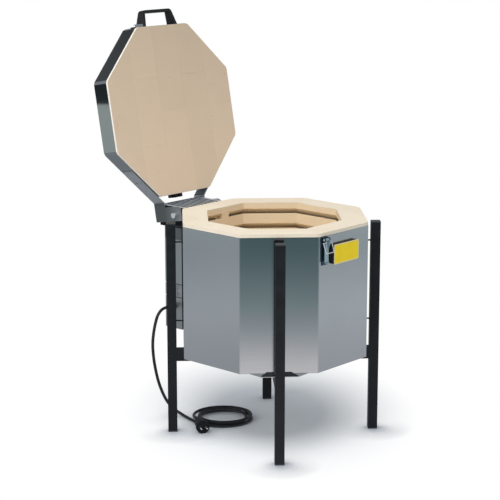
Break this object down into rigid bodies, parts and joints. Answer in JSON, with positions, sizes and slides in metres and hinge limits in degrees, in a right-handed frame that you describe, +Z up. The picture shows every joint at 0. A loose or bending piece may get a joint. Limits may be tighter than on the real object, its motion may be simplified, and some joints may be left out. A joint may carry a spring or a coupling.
{
  "type": "electric kiln",
  "caption": "Top-loading electric kiln: octagonal firebrick chamber in a polished steel jacket on a leg stand, hinged lid standing open, toggle latch, rear switch box and mains cord.",
  "frame": {"origin": "on the floor, under the upright axis of the octagonal chamber, midway between the legs", "axes": "+Z up; +X to the right and +Y away from the viewer in the picture; a leg stands on each of +X, -X, +Y, -Y"},
  "size_m": [0.9134, 0.9134, 1.3433],
  "materials": {
    "black_paint": "satin black paint",
    "cap_plastic": "moulded black",
    "polished_steel": "mirror-polished stainless steel",
    "plain_steel": "plain zinc-coated sheet",
    "band_steel": "dull grey steel",
    "box_steel": "plain grey sheet",
    "zinc": "blue passivated zinc",
    "bright_steel": "bright steel",
    "firebrick": "porous cream insulating brick",
    "fibre_board": "pale fibre board and blanket",
    "element_wire": "oxidised resistance wire",
    "white_ceramic": "unglazed white ceramic",
    "dark_plastic": "moulded black",
    "regulator_case": "moulded cream",
    "lamp_lens": "amber lens",
    "cord_rubber": "black rubber sheath",
    "nickel": "nickel-plated brass"
  },
  "bodies": {
    "frame": {"leg_front": "black_paint", "leg_right": "black_paint", "leg_back": "black_paint", "leg_left": "black_paint", "leg_caps": "cap_plastic", "leg_feet": "cap_plastic", "rail_across": "black_paint", "rail_front": "black_paint", "rail_back": "black_paint", "leg_flanges": "black_paint", "leg_standoffs": "black_paint", "base_plate": "plain_steel", "jacket": "polished_steel", "fibre_blanket": "fibre_board", "floor_board": "fibre_board", "floor_bricks": "firebrick", "lower_course": "firebrick", "middle_course": "firebrick", "rim_course": "firebrick", "heating_elements": "element_wire", "terminal_bushings": "white_ceramic", "thermocouple": "white_ceramic", "hinge_bracket": "band_steel", "hinge_bolts": "bright_steel", "box_back": "box_steel", "box_spacers": "white_ceramic", "box_tray": "box_steel", "box_vent": "box_steel", "box_cover": "box_steel", "box_hood": "box_steel", "contactor": "dark_plastic", "terminal_block": "white_ceramic", "regulator": "regulator_case", "pilot_lamp": "lamp_lens", "cable_gland": "dark_plastic", "latch_base": "zinc", "latch_pin": "bright_steel", "plate_block": "dark_plastic", "cord_lead": "cord_rubber", "cord_coil": "cord_rubber", "plug_body": "dark_plastic", "plug_pins": "nickel"},
    "lid": {"lid_bricks": "firebrick", "lid_band": "band_steel", "band_lugs": "black_paint", "band_screw": "bright_steel", "lid_top_sheet": "band_steel", "lid_arm_left": "band_steel", "lid_arm_right": "band_steel", "arm_screws": "bright_steel", "lid_handle": "dark_plastic", "handle_screws": "bright_steel", "lid_strike": "zinc"},
    "latch_lever": {"latch_lever": "zinc"},
    "latch_bail": {"latch_bail": "bright_steel"},
    "regulator_knob": {"regulator_knob": "dark_plastic"}
  },
  "joints": [
    {"name": "lid_hinge", "type": "hinge", "parent": "frame", "child": "lid", "pos_m": [-0.24466, 0.24466, 0.684], "axis": [-0.7071, -0.7071, 0], "range_deg": [-100.6, 0]},
    {"name": "lever_swing", "type": "hinge", "parent": "frame", "child": "latch_lever", "pos_m": [0.14354, -0.27931, 0.697], "axis": [-0.7071, -0.7071, 0], "range_deg": [0, 110]},
    {"name": "bail_swing", "type": "hinge", "parent": "latch_lever", "child": "latch_bail", "pos_m": [0.14637, -0.28214, 0.688], "axis": [-0.7071, -0.7071, 0], "range_deg": [0, 55]},
    {"name": "knob_turn", "type": "hinge", "parent": "frame", "child": "regulator_knob", "pos_m": [-0.2687, 0.2687, 0.56], "axis": [-0.7071, 0.7071, 0], "range_deg": [0, 300]}
  ]
}
